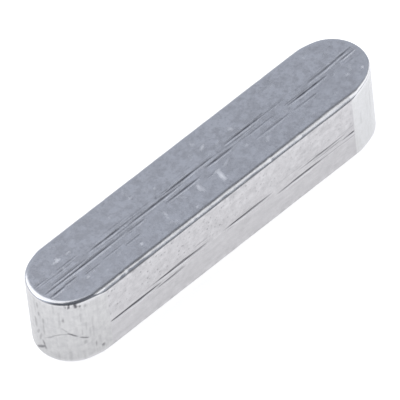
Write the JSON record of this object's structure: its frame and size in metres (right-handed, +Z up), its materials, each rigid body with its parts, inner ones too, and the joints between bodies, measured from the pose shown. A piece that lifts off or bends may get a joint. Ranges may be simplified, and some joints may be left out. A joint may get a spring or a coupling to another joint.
{
  "type": "parallel key",
  "caption": "Square-section steel parallel key with round ends, a loose machine key that locks a hub to a shaft.",
  "frame": {"origin": "middle of the bottom face", "axes": "+X along the key, +Y across it between the driving flanks, +Z up out of the keyway"},
  "size_m": [0.025, 0.005, 0.005],
  "materials": {
    "drawn_steel": "bright cold-drawn and tumbled, with draw lines along the faces and milled ends"
  },
  "bodies": {
    "root": {"parallel_key": "drawn_steel"}
  },
  "joints": []
}
